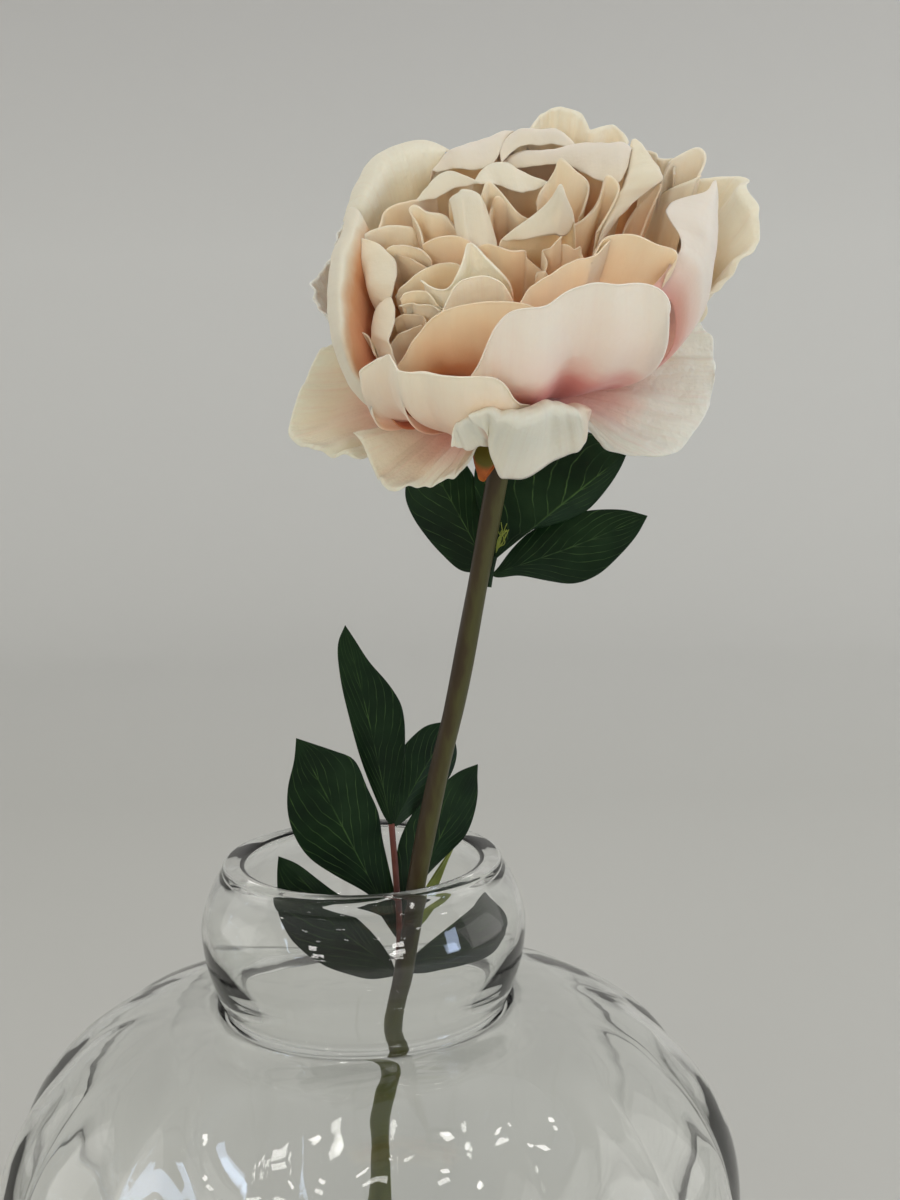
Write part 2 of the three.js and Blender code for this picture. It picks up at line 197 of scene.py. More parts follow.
def spun(name, profile, steps):
    """A closed wall turned about the vase's axis from an outline of (radius, height) points."""
    mesh = bpy.data.meshes.new(name)
    edges = [(i, i + 1) for i in range(len(profile) - 1)]
    mesh.from_pydata([(radius * MM, 0, height * MM) for radius, height in profile], edges, [])
    piece = bpy.data.objects.new(name, mesh)
    bpy.context.scene.collection.objects.link(piece)
    open_mesh(piece)
    bpy.ops.mesh.spin(steps=steps, angle=2 * math.pi, center=(0, 0, 0), axis=(0, 0, 1))
    bpy.ops.mesh.select_all(action="SELECT")
    bpy.ops.mesh.remove_doubles(threshold=MERGE)
    close_mesh()
    return piece


def finish_piece(piece, node, material):
    """Dresses a piece and sets it on the body that it belongs to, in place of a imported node."""
    piece.data.materials.clear()
    piece.data.materials.append(material)
    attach(piece, "root")
    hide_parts(node)


# ---------- shader nodes

def colour(hex_value):
    """An sRGB hex value as the linear colour that a socket takes."""
    parts = [int(hex_value[i:i + 2], 16) / 255 for i in (1, 3, 5)]
    return [p / 12.92 if p <= 0.04045 else ((p + 0.055) / 1.055) ** 2.4 for p in parts] + [1.0]


def dressed(name, **shader):
    """A new material and its shader, with the given socket values."""
    material = bpy.data.materials.new(name)
    material.use_nodes = True
    tree = material.node_tree
    principled = tree.nodes["Principled BSDF"]
    for socket, value in shader.items():
        principled.inputs[socket.replace("_", " ")].default_value = value
    return material, tree, principled


def add(tree, kind, inputs=None, **settings):
    """One shader node, with its settings and its inputs as values or as links."""
    node = tree.nodes.new(kind)
    for name, value in settings.items():
        setattr(node, name, value)
    for name, value in (inputs or {}).items():
        socket = node.inputs[name]
        if isinstance(value, bpy.types.NodeSocket):
            tree.links.new(value, socket)
        else:
            socket.default_value = value
    return node


def own_uv(tree):
    """The x and y of a piece's own UV map: across it and along it, each from 0 to 1."""
    return add(tree, "ShaderNodeSeparateXYZ", {0: add(tree, "ShaderNodeUVMap").outputs[0]}).outputs


def object_place(tree):
    return add(tree, "ShaderNodeTexCoord").outputs["Object"]


def clouds(tree, where, grain, detail=2.0):
    """A cloudy pattern whose grains are that many mm."""
    inputs = {"Vector": where, "Scale": 1 / (grain * MM), "Detail": detail}
    return add(tree, "ShaderNodeTexNoise", inputs).outputs["Fac"]


def maths(tree, operation, *values):
    return add(tree, "ShaderNodeMath", dict(enumerate(values)), operation=operation).outputs[0]


def spread(tree, value, start, end, low=0.0, high=1.0):
    """The value's way from start to end, as the way from low to high."""
    inputs = {"Value": value, 1: start, 2: end, 3: low, 4: high}
    return add(tree, "ShaderNodeMapRange", inputs).outputs[0]


def ramp(tree, value, stops):
    """The colour that a value has between (place, hex) stops."""
    node = add(tree, "ShaderNodeValToRGB", {"Fac": value})
    elements = node.color_ramp.elements
    while len(elements) < len(stops):
        elements.new(0.5)
    for element, (place, shade) in zip(elements, stops):
        element.position = place
        element.color = colour(shade)
    return node.outputs[0]


def blend(tree, share, base, over):
    """The base colour, turned towards the hex colour over by a share."""
    node = add(tree, "ShaderNodeMix", {"Factor": share, 6: base, 7: colour(over)}, data_type="RGBA")
    return node.outputs[2]


def paint(tree, shader, shade):
    tree.links.new(shade, shader.inputs["Base Color"])


def bump(tree, shader, height, strength, depth):
    """Makes the surface uneven by a pattern that is depth mm deep."""
    node = add(tree, "ShaderNodeBump", {"Height": height, "Strength": strength, "Distance": depth * MM})
    tree.links.new(node.outputs[0], shader.inputs["Normal"])


# ---------- stage

LENS, SENSOR = 54, 36
PHOTO_WIDE, PHOTO_HIGH = 900, 1200
PIXELS = LENS / SENSOR * PHOTO_HIGH  # from the eye to the photo, in its own pixels
CAMERA_AT = Vector((28.9, -539.52, 365.77))
CAMERA_PITCH, CAMERA_ROLL = 0.1574, -0.021
CAMERA_TURN = (Matrix.Rotation(math.radians(90) - CAMERA_PITCH, 4, "X")
               @ Matrix.Rotation(CAMERA_ROLL, 4, "Z"))


def sight(across, down):
    """The way that the camera looks through a photo pixel."""
    return CAMERA_TURN.to_3x3() @ Vector((across - PHOTO_WIDE / 2, PHOTO_HIGH / 2 - down, -PIXELS))


def seen(across, down, height):
    """The place over the heart, at that height up the bloom's axis, that a photo pixel shows."""
    ray = sight(across, down)
    from_heart = CAMERA_AT - HEART
    place = from_heart + ray * ((height - from_heart.dot(FACE)) / ray.dot(FACE))
    return Vector((place.dot(SIDE), place.dot(BACK), height))


def on_face(across, down, point, normal):
    """Where the line of sight through a photo pixel meets the flat face through a point."""
    ray = sight(across, down)
    return CAMERA_AT + ray * ((point - CAMERA_AT).dot(normal) / ray.dot(normal))


def make_camera():
    deselect()
    bpy.ops.object.camera_add(location=(0, 0, 0))
    camera = bpy.context.object
    camera.matrix_world = Matrix.Translation(CAMERA_AT * MM) @ CAMERA_TURN
    camera.data.lens, camera.data.sensor_width = LENS, SENSOR
    camera.data.clip_start = 0.01
    bpy.context.scene.camera = camera


ROOM_REACH, ROOM_BEND, ROOM_TOP = 1900, 500, 2300
BEND_STEPS, ROOM_STEPS = 8, 64
# Painted light and shade on the room: the paint's colours by height in metres, and where between two depths
# in metres it turns to another tone.
WALL_SHADE_TONES = [(0.0, "#d5d5d1"), (0.45, "#dbdbd8"), (1.0, "#c6c5c3")]
DEPTH_SHADE_TONES = [(1.4, 0.8, "#c5c5c0"), (-0.9, -1.6, "#aeada9")]


def make_room():
    """A floor that sweeps up into a wall all round, painted matt: pale grey behind the vase and darker on
    the viewer's side. The grading is painted light and shade: the wall behind is lighter and darker by
    height, and the rest of the room is darker, most of all on the viewer's side."""
    flat = ROOM_REACH - ROOM_BEND
    profile = [(0, 0), (flat, 0)]
    for step in range(1, BEND_STEPS + 1):
        turn = math.radians(90 * step / BEND_STEPS)
        profile.append((flat + ROOM_BEND * math.sin(turn), ROOM_BEND - ROOM_BEND * math.cos(turn)))
    profile.append((ROOM_REACH, ROOM_TOP))
    room = spun("room", profile, ROOM_STEPS)
    open_mesh(room)
    bpy.ops.mesh.flip_normals()
    bpy.ops.object.mode_set(mode="OBJECT")
    material, tree, shader = dressed("matt_wall_paint_with_painted_shade", Roughness=0.9)
    where = add(tree, "ShaderNodeSeparateXYZ", {0: object_place(tree)}).outputs
    # painted light and shade: the back wall's tone by height, then darker tones by depth
    shade = ramp(tree, where["Z"], WALL_SHADE_TONES)
    for start, end, tone in DEPTH_SHADE_TONES:
        shade = blend(tree, spread(tree, where["Y"], start, end), shade, tone)
    paint(tree, shader, shade)
    room.data.materials.append(material)


def area_light(name, place, aim, size, power, tint="#fffcf8", mirrored=False):
    """A rectangular light. Only the ones that are mirrored show in the glass."""
    deselect()
    bpy.ops.object.light_add(type="AREA", location=(0, 0, 0))
    lamp = bpy.context.object
    lamp.name = name
    lamp.data.shape, lamp.data.size, lamp.data.size_y = "RECTANGLE", size[0], size[1]
    lamp.data.energy = power
    lamp.data.color = colour(tint)[:3]
    place, aim = Vector(place), Vector(aim)
    turn = (aim - place).to_track_quat("-Z", "Y").to_matrix().to_4x4()
    lamp.matrix_world = Matrix.Translation(place) @ turn
    lamp.visible_glossy = lamp.visible_transmission = mirrored


SKY, SKY_STRENGTH = "#f4f5f6", 0.37
AT_BLOOM, AT_VASE = (0.04, -0.05, 0.34), (0, 0, 0.19)
# The small panels that the vase mirrors: place to the side, in depth and in height, and length, in
# metres, with the panel's shape (length over width) and its watts for a square metre of length.
PANELS = [(side, depth, 1.6, 0.12) for side in (-0.9, -0.3, 0.3, 0.9) for depth in (-1.2, -0.5, 0.3)]
PANELS += [(-0.9, -1.37, 0.64, 0.19), (-0.84, -1.42, 0.5, 0.12), (-0.72, -1.45, 0.5, 0.12),
           (0.7, -1.4, 0.66, 0.19), (0.7, -1.4, 0.52, 0.19), (0.6, -1.45, 0.5, 0.12)]
PANEL_SHAPE, PANEL_POWER = 2.2, 18


def make_lights():
    world = bpy.data.worlds.new("soft_room")
    bpy.context.scene.world = world
    world.use_nodes = True
    background = world.node_tree.nodes["Background"]
    background.inputs["Color"].default_value = colour(SKY)
    background.inputs["Strength"].default_value = SKY_STRENGTH
    area_light("ceiling", (-0.35, -0.15, 1.7), (0.03, -0.03, 0.3), (1.4, 1.4), 0.8)
    area_light("front_left", (-0.7, -1.5, 0.4), AT_BLOOM, (1.1, 0.9), 4.8)
    area_light("front", (0.1, -1.7, 0.35), AT_BLOOM, (1.8, 0.9), 3.4)
    area_light("front_right", (0.8, -1.4, 0.2), AT_BLOOM, (0.8, 0.6), 3.4)
    area_light("left", (-1.5, 0.2, 0.6), AT_BLOOM, (1.0, 1.0), 2.4, mirrored=True)
    area_light("right", (1.5, 0.2, 0.6), AT_BLOOM, (1.0, 1.0), 2.4, mirrored=True)
    area_light("back_wall", (0.8, 0.5, 1.5), (0.4, 1.8, 0.3), (1.4, 0.6), 5.6, "#fdfdff")
    area_light("near_wall", (0, -0.3, 1.9), (0, -1.9, 0.4), (1.4, 0.8), 4.5)
    area_light("left_wall", (-0.7, 0, 1.8), (-1.9, 0, 0.3), (1.2, 0.8), 4)
    area_light("right_wall", (0.7, 0, 1.8), (1.9, 0, 0.3), (1.2, 0.8), 4)
    for number, (side, depth, height, long) in enumerate(PANELS, 1):
        area_light(f"panel_{number}", (side, depth, height), AT_VASE, (long, long / PANEL_SHAPE),
                   PANEL_POWER * long**2, mirrored=True)
    area_light("window", (1.35, -0.6, 0.42), AT_VASE, (0.25, 0.4), 2.5, "#cfe0ff", mirrored=True)
    bpy.context.scene.view_settings.view_transform = "Standard"


# ---------- finishes

VEINS_ACROSS_AND_ALONG = (42, 2.2, 1)  # the veins' pattern repeats this often over a petal


def petal_finish(name, foot, throat, body, lip, tip=None, places=(0.1, 0.42, 0.6, 0.78), veins=0.05,
                 blush=(2, 3), creases=0.4):
    """Moulded soft-touch polyurethane, sprayed with colour from the foot: a matt skin that light goes a
    little way into, with faint lengthwise veins. places are where along the petal its colours lie, veins
    how strongly they show, creases how deep they are, in mm, and blush where across the petal one side
    turns to the throat's colour. tip, where given, is the colour at the very end of the lip, as painted
    shade; without it the lip's colour goes on to the end."""
    material, tree, shader = dressed(name, Roughness=0.62, IOR=1.45, Subsurface_Weight=0.6,
                                     Subsurface_Scale=2.2 * MM, Subsurface_Radius=(1.0, 0.82, 0.68),
                                     Sheen_Weight=0.12, Sheen_Roughness=0.6)
    flat, where = own_uv(tree), object_place(tree)
    drift = maths(tree, "MULTIPLY_ADD", clouds(tree, where, 14, 3.0), 0.24, -0.12)
    shade = ramp(tree, maths(tree, "ADD", flat["Y"], drift),
                 list(zip((*places, 1.0), (foot, throat, body, lip, tip or lip))))
    lengthened = add(tree, "ShaderNodeMapping", {0: add(tree, "ShaderNodeUVMap").outputs[0],
                                                 "Scale": VEINS_ACROSS_AND_ALONG}).outputs[0]
    inputs = {"Vector": lengthened, "Scale": 1.0, "Detail": 3.0}
    vein = add(tree, "ShaderNodeTexNoise", inputs).outputs["Fac"]
    veined = blend(tree, spread(tree, vein, 0.5, 0.75, 0.0, veins), shade, throat)
    paint(tree, shader, blend(tree, spread(tree, flat["X"], *blush, 0.0, 0.85), veined, throat))
    bump(tree, shader, maths(tree, "MULTIPLY_ADD", vein, 6 * veins, clouds(tree, where, 1.6)), 0.3, creases)
    return material


def glass_finish():
    """Soda-lime glass, blown in a ribbed mould and fire polished: clear, faintly green through its
    thick parts, with slow ripples."""
    glass, tree, shader = dressed("blown_soda_lime_glass", Base_Color=colour("#fdfefd"), Roughness=0.0,
                                  IOR=1.5, Transmission_Weight=1.0)
    bump(tree, shader, clouds(tree, object_place(tree), 30), 0.3, 1.2)
    return glass


STEM_TONES = [(0.4, "#332716"), (0.52, "#3b301a"), (0.62, "#494724"), (0.9, "#3f3f20"), (1.0, "#332716")]
STEM_FOOT_GREEN_AND_LIGHT, LIGHTER_FOOT_FROM, LIGHTER_FOOT_FULL = "#7a7f46", 165, 135  # the foot's lighter green by height: partly the stem's own greener foot, partly painted light inside the vase


def stem_finish():
    """Steel wire in an extruded polyethylene coating, green at its foot and olive above, with brown sprayed
    on from the left: satin, with long streaks and a few scuffs. The foot's green, inside the vase, is
    lighter: partly the coating's own greener colour, partly painted light where the glass keeps the lamps'
    light off it."""
    coat, tree, shader = dressed("sprayed_polyethylene_coating", Roughness=0.45, IOR=1.5,
                                 Specular_IOR_Level=0.35)
    where = object_place(tree)
    long = add(tree, "ShaderNodeMapping", {0: where, "Scale": (1, 1, 0.06)}).outputs[0]
    streak = clouds(tree, long, 2.2, 3.0)
    uneven = maths(tree, "ADD", clouds(tree, where, 30), streak)
    shade = ramp(tree, maths(tree, "MULTIPLY_ADD", uneven, 0.3, own_uv(tree)["X"]), STEM_TONES)
    level = add(tree, "ShaderNodeSeparateXYZ", {0: where}).outputs["Z"]
    # lighter green towards the foot: the coating's own green and painted light inside the vase
    low = spread(tree, level, LIGHTER_FOOT_FROM * MM, LIGHTER_FOOT_FULL * MM, 0.0, 0.8)
    paint(tree, shader, blend(tree, low, shade, STEM_FOOT_GREEN_AND_LIGHT))
    bump(tree, shader, streak, 0.4, 0.4)
    return coat


def moulded_finish(name, low, high, root=None):
    """Injection-moulded polyethylene with a sprayed tint: satin, a little uneven and, where root is
    given, of that colour for the first part of its length."""
    plastic, tree, shader = dressed(name, Roughness=0.45, IOR=1.5)
    patch = clouds(tree, object_place(tree), 6, 3.0)
    dye = ramp(tree, patch, [(0.35, low), (0.65, high)])
    if root:
        dye = blend(tree, spread(tree, own_uv(tree)["Y"], 0.78, 0.7), dye, root)
    paint(tree, shader, dye)
    bump(tree, shader, patch, 0.2, 0.3)
    return plastic


LEAF_TONES, VEIN_TONE = [(0.3, "#06190a"), (0.55, "#0f2610"), (0.8, "#1a3118")], "#4c6a35"
VEINS_ALONG, VEIN_SWEEP = 17.0, -0.95  # how many side veins, and how far up they lean


def leaf_finish():
    """Woven polyester, dyed, coated and pressed in a heated veining mould: dark green with a dull shine,
    thin pale veins that branch from the midrib, and the weave showing through the coat."""
    leaf, tree, shader = dressed("pressed_polyester_leaf", Roughness=0.5, IOR=1.45,
                                 Specular_IOR_Level=0.22)
    flat, where = own_uv(tree), object_place(tree)
    aside = maths(tree, "ABSOLUTE", maths(tree, "SUBTRACT", flat["X"], 0.5))
    bent = maths(tree, "MULTIPLY_ADD", clouds(tree, where, 9), 0.1, flat["Y"])
    swept = maths(tree, "MULTIPLY_ADD", aside, VEIN_SWEEP, bent)
    saw = maths(tree, "PINGPONG", maths(tree, "MULTIPLY", swept, VEINS_ALONG), 1.0)
    midrib = spread(tree, aside, 0.0, 0.012, 1.0, 0.0)
    either = maths(tree, "MAXIMUM", spread(tree, saw, 0.0, 0.11, 1.0, 0.0), midrib)
    muted = spread(tree, clouds(tree, where, 5), 0.38, 0.66, 0.08, 0.8)
    green = ramp(tree, clouds(tree, where, 12, 3.0), LEAF_TONES)
    paint(tree, shader, blend(tree, maths(tree, "MULTIPLY", either, muted), green, VEIN_TONE))
    weave = clouds(tree, where, 0.6, 1.0)
    bump(tree, shader, maths(tree, "MULTIPLY_ADD", weave, 0.25, either), 0.4, 0.3)
    return leaf


# ---------- vase

# Outlines as (radius, height), from the foot up outside, over the rim, and down inside to the floor.
VASE_OUTSIDE = [
    (52, 0), (66, 2), (76, 8), (90, 20), (102, 37), (112, 58), (117, 78), (117.2, 94), (114, 109),
    (108, 122), (99, 134), (87, 144), (74, 150), (62, 153.5), (53, 154.5), (47, 153.8), (44, 152.6),
    (43.4, 151.6), (43.6, 153), (46, 159), (49, 168), (50.3, 177), (50, 183), (47, 192), (43.4, 198),
]
VASE_RIM = [(43.2, 199.2), (42.8, 199.8), (42.1, 200), (39.6, 200), (37.3, 200), (36.6, 199.7)]
VASE_INSIDE = [
    (36.3, 198.6), (39.5, 195.6), (44.6, 190), (47.6, 183), (48, 177), (46.2, 169.5), (43.4, 163.2),
    (41.3, 159), (40.4, 156.2), (40.7, 153.5), (44, 151.7), (53, 151.6), (62, 150.8), (73, 147.5),
    (86, 141.3), (97.4, 131.8), (106, 120.6), (111.8, 108), (115, 93.6), (114.8, 78), (109.9, 59),
    (100, 39), (88, 23), (74.5, 13.5), (62, 10.6), (50, 10),
]
VASE_FLOOR = 10
OUTSIDE_STEPS, INSIDE_STEPS, LOBE_STEPS = 110, 90, 24
LOBES, LOBE_DEPTH, LOBE_PHASE = 15, 4, 7
CREASE_TOP, CREASE_FULL, CREASE_FADE = 154, 134, 14
# Inside, the lobes' creases are shallower and rounder, and the wall is uneven by WAVE_DEPTH.
OUTSIDE_SOFTNESS, INSIDE_SOFTNESS, INSIDE_SHARE, WAVE_LENGTH, WAVE_DEPTH = 0.008, 0.08, 0.8, 16, 0.25


def outline(points, steps):
    """The (radius, height) points of a smooth curve through an outline's points."""
    curve = through([(radius, height, 0) for radius, height in points])
    return [tuple(curve(i / steps)[:2]) for i in range(steps + 1)]


def make_vase(glass):
    profile = [(0, 0)] + outline(VASE_OUTSIDE, OUTSIDE_STEPS) + VASE_RIM
    profile += outline(VASE_INSIDE, INSIDE_STEPS) + [(0, VASE_FLOOR)]
    vase = spun("vase_glass", profile, LOBES * LOBE_STEPS)
    inner = [vertex.normal.xy.dot(vertex.co.xy) < 0 for vertex in vase.data.vertices]
    for vertex, within in zip(vase.data.vertices, inner):
        x, y, height = vertex.co / MM
        radius, turn = math.hypot(x, y), math.atan2(x, -y) - math.radians(LOBE_PHASE)
        crease = smooth(CREASE_TOP - height, 0, CREASE_TOP - CREASE_FULL) * smooth(height, 0, CREASE_FADE)
        deep = LOBE_DEPTH * (INSIDE_SHARE if within else 1)
        soft = INSIDE_SOFTNESS if within else OUTSIDE_SOFTNESS
        dent = deep * crease * (1 - math.sqrt(math.sin(LOBES * turn / 2)**2 + soft))
        if within:
            dent += WAVE_DEPTH * crease * noise.noise(vertex.co / MM / WAVE_LENGTH)
        if radius > dent:
            vertex.co.x *= (radius - dent) / radius
            vertex.co.y *= (radius - dent) / radius
    finish_piece(vase, "vase", glass)


# ---------- stem and calyx

STEM_PATH = [
    (-14, 15, 11.4), (-1.2, -2.6, 87.8), (11.6, -20.1, 164), (17.1, -28.1, 199), (24.1, -35, 233.2),
    (29.9, -40, 257.8), (36.8, -47.1, 293), (42.6, -52.4, 322.8), (44.1, -53.5, 330.1),
]
NECK_PATH = [(44.1, -53.5, 329.6), (46.1, -54, 336), (47.1, -54.9, 340.9), (47.1, -57.3, 344)]
STEM_RADIUS, NECK_RADIUS = 2.85, 3.1
STEM_LUMPS, STEM_RIPPLES = 0.12, 0.1  # how uneven the coating is, in long lumps and short ripples


def make_stem(coating):
    def radius(turn, v):
        lumps, ripples = math.sin(3 * turn + 9 * v), math.sin(41 * v + 2 * turn)
        return STEM_RADIUS + STEM_LUMPS * lumps + STEM_RIPPLES * ripples

    finish_piece(tube("stem_coating", STEM_PATH, radius, 20, 120), "stem", coating)


# Reach and height of the calyx cup's wall, from its under side to its rim.
CUP_WALL = [(0.3, -7.6, 0), (3.4, -7, 0), (6.5, -4.6, 0), (8, -2.2, 0), (8, -1.1, 0), (4, -0.4, 0),
            (0.3, 0, 0)]
# Degrees round the bloom, reach, rise and the degrees that it bends through, of each sepal. The first
# is the orange one.
SEPALS = [(246, 22, -9, 100), (318, 19, -7, 90), (30, 20, -5, 80), (102, 19, -5, 80), (174, 20, -6, 90)]
SEPAL_HALF, SEPAL_WRAP, SEPAL_ROOT, SEPAL_SEAT = 6, math.radians(24), 3, -3.4
SEPAL_THICKNESS = 0.7
# A sepal's width at its foot and tip, as shares of its widest, where that lies, and how its corners round.
SEPAL_FOOT, SEPAL_TIP, SEPAL_WIDEST, SEPAL_CORNER, SEPAL_ROUNDING = 0.6, 0.35, 0.45, 0.3, 2.5


def sepal(name, turn, reach, rise, arc):
    """A narrow blade from the cup outwards, curled round its own length and bent over."""
    def place(u, v):
        share = v * (1 - SEPAL_CORNER * abs(u) ** SEPAL_ROUNDING)
        bend = math.radians(arc) * share
        out = SEPAL_ROOT + (reach - SEPAL_ROOT) * math.sin(bend)
        up = SEPAL_SEAT + rise * (1 - math.cos(bend))
        if v < SEPAL_WIDEST:
            grown = SEPAL_FOOT + (1 - SEPAL_FOOT) * math.sin(math.pi / 2 * v / SEPAL_WIDEST)
        else:
            grown = 1 - (1 - SEPAL_TIP) * ((v - SEPAL_WIDEST) / (1 - SEPAL_WIDEST)) ** 2
        bow = SEPAL_HALF * grown / SEPAL_WRAP
        side, lifted = bow * math.sin(u * SEPAL_WRAP), bow * (1 - math.cos(u * SEPAL_WRAP))
        return in_bloom(around(turn, out, up + lifted) + around(turn + 90, side, 0))

    piece = grid(name, 10, 16, place)
    thicken(piece, SEPAL_THICKNESS)
    return piece


def make_calyx(green, orange):
    wall = through(CUP_WALL)
    cup = grid("calyx_cup", 28, 14, lambda u, v: in_bloom(around(180 * u, *wall(v).xy)))
    close_ends(cup)
    neck = tube("calyx_neck", NECK_PATH, lambda turn, v: NECK_RADIUS, 16, 10)
    finish_piece(joined("calyx_cup", [cup, neck]), "calyx", green)
    for number, shape in enumerate(SEPALS, 1):
        finish_piece(sepal(f"sepal_{number}", *shape), "calyx",
                     orange if number == 1 else green)


# ---------- leaves

# Each leaflet from its foot to its tip, the way that its face looks, and the photo pixels that its left
# and right edges pass between them, seen on that face.
UPPER_LEAFLETS = [
    dict(foot=(40.2, -43.4, 295), tip=(20.7, -26, 330), facing=(-0.2, -1, 0.3),
         left=[(461, 570), (440, 553), (422, 533), (408, 512), (402, 492), (408, 468)],
         right=[(479, 550), (483, 523), (478, 492), (468, 467), (450, 448)]),
    dict(foot=(41, -43, 297.5), tip=(80.9, -22, 325.8), facing=(0.2, -1, 0.5),
         left=[(484, 520), (477, 492), (477, 462), (492, 440), (530, 424), (575, 424), (603, 436)],
         right=[(500, 543), (513, 531), (545, 524), (575, 514), (592, 505), (610, 485), (622, 466)]),
    dict(foot=(40.4, -43.4, 294), tip=(85.7, -30, 308), facing=(0.1, -1, 0.6),
         left=[(497, 568), (513, 545), (530, 527), (552, 514), (575, 508), (600, 505), (626, 507)],
         right=[(497, 577), (520, 573), (550, 576), (577, 578), (600, 570), (620, 553), (638, 533)]),
]
LOWER_LEAFLETS = [
    dict(foot=(9.8, -13, 213), tip=(-2.2, -16, 275.9), facing=(-0.1, -1, 0),
         left=[(383, 817), (367, 783), (354, 748), (343, 706), (338, 675), (337, 645)],
         right=[(394, 812), (400, 785), (404, 750), (401, 712), (388, 688), (368, 663), (353, 638)]),
    dict(foot=(9.9, -13, 212.5), tip=(29.5, 12, 240), facing=(0.5, -1, 0.4),
         left=[(393, 800), (396, 775), (406, 748), (419, 732), (432, 723)],
         right=[(404, 822), (422, 808), (440, 793), (455, 775), (461, 752), (456, 733)]),
    dict(foot=(10.9, -15.2, 180), tip=(-17.3, -22, 243.4), facing=(0.1, -1, 0),
         left=[(375, 902), (335, 880), (311, 864), (296, 843), (288, 817), (288, 790), (294, 763)],
         right=[(397, 905), (390, 870), (384, 843), (380, 817), (368, 790), (355, 762), (335, 753),
                (314, 745)]),
    dict(foot=(11.2, -15.2, 180), tip=(36.5, 0, 228.8), facing=(0.5, -1, 0.2),
         left=[(400, 905), (399, 880), (401, 859), (406, 838), (419, 812), (446, 785), (461, 772)],
         right=[(414, 900), (427, 883), (440, 870), (456, 854), (470, 838), (478, 817), (481, 796),
                (479, 777)]),
    dict(foot=(10.4, -15.8, 167), tip=(-24.7, -13, 204.8), facing=(0, -1, 0.3),
         left=[(372, 981), (346, 975), (319, 964), (298, 943), (285, 917), (278, 894), (277, 873)],
         right=[(390, 955), (372, 922), (356, 906), (335, 893), (318, 880), (297, 864)]),
    dict(foot=(10.6, -15.6, 168), tip=(36.5, 4, 190), facing=(0.4, -1, 0.3),
         left=[(414, 965), (425, 948), (440, 927), (456, 912), (477, 900)],
         right=[(425, 974), (445, 971), (467, 967), (493, 959), (506, 946), (512, 930), (510, 912)]),
]
BRACT = dict(foot=(11.1, -15.2, 178), tip=(29.7, 2, 204), facing=(0.6, -1, 0),
             left=[(412, 920), (425, 900), (440, 882)], right=[(424, 918), (438, 898), (448, 880)])
# Frayed threads where the upper leaflets meet, by the photo pixels of the line that they keep to and how
# far, in pixels, they part from it at each step and shift up or down. They lie on the face given.
FIBRES, FIBRE_LINE, FIBRE_PARTING, FIBRE_SHIFT = 9, [(496, 550), (502, 539), (504, 527)], 4, 5
FIBRE_FOOT, FIBRE_FACING = Vector((40.6, -43.4, 294.5)), Vector((0, -1, 0.3))
UPPER_STALK = [(39.6, -44.2, 290.6), (40.4, -43.4, 295), (41.4, -42.8, 299)]
LOWER_STALK = [(10.2, -15.9, 163.4), (10.8, -15.6, 172), (11.1, -15.2, 182), (10.8, -14.2, 197),
               (9.8, -13, 214)]


LEAF_THICKNESS, PETIOLE_RADIUS, FIBRE_RADIUS = 0.4, 0.95, 0.12
LEAF_BOW, LEAF_CUP, LEAF_RIPPLE = 2.25, 1.6, 0.45  # the midrib's bow, the edges' rise and their ripple


def leaflet(name, foot, tip, facing, left, right):
    """A leaflet between its two edges, bowed along its midrib and raised to each side of it."""
    foot, tip, facing = Vector(foot), Vector(tip), Vector(facing)
    axis = tip - foot
    across = axis.cross(facing).normalized() * -1
    up = across.cross(axis).normalized()
    left, right = (through([foot] + [on_face(*pixel, foot, up) for pixel in edge] + [tip])
                   for edge in (left, right))
    phase = random.Random(name).uniform(0, 6)

    def place(u, v):
        edge = left(v) if u < 0 else right(v)
        spot = (foot + axis * v).lerp(edge, abs(u))
        swell = math.sin(math.pi * v)
        lift = 4 * LEAF_BOW * v * (1 - v) + LEAF_CUP * swell * abs(u)**1.2
        lift += LEAF_RIPPLE * swell * abs(u)**2 * math.sin(11 * v + phase)
        return (spot + up * lift) * MM

    piece = grid(name, 18, 34, place)
    thicken(piece, LEAF_THICKNESS)
    return piece


def fibre_bundle(name):
    """Thin threads that start together and part as they go up."""
    draw = random.Random("fibres")
    fibres = []
    for number in range(FIBRES):
        path = []
        for step, (across, down) in enumerate(FIBRE_LINE):
            across += draw.uniform(-FIBRE_PARTING, FIBRE_PARTING) * step
            down += draw.uniform(-FIBRE_SHIFT, FIBRE_SHIFT)
            path.append(on_face(across, down, FIBRE_FOOT, FIBRE_FACING))
        fibres.append(tube(f"fibre_{number}", path, lambda turn, v: FIBRE_RADIUS, 6, 16))
    return joined(name, fibres)


def make_leaves(leaf, stalk, pale):
    for name, node, leaflets, path, finish in (
        ("upper_spray", "upper_leaf_spray", UPPER_LEAFLETS, UPPER_STALK, leaf),
        ("lower_spray", "lower_leaf_spray", LOWER_LEAFLETS, LOWER_STALK, stalk),
    ):
        for number, shape in enumerate(leaflets, 1):
            finish_piece(leaflet(f"{name}_leaflet_{number}", **shape), node, leaf)
        petiole = tube(f"{name}_petiole", path, lambda turn, v: PETIOLE_RADIUS, 12, 40)
        finish_piece(petiole, node, finish)
    finish_piece(leaflet("lower_spray_bract", **BRACT), "lower_leaf_spray", pale)
    finish_piece(fibre_bundle("upper_spray_fibres"), "upper_leaf_spray", pale)


# ---------- petals

PETAL_THICKNESS = 0.4
CREST_AT = 0.78  # how far along a petal its bend lies
FLAT_ENOUGH = 3  # a petal that leans less than this goes the way its turn says
CURL_LENGTH, ROUGH_LENGTH, FINE_LENGTH, FRILL_LENGTH, PLEAT_LENGTH = 9, 13, 5, 5, 4.5
CURL_CHANGE, LIP_PULL, LIP_DROP = 1.4, 1.1, 0.25  # how a lip's roll varies, and how it leaves the bend


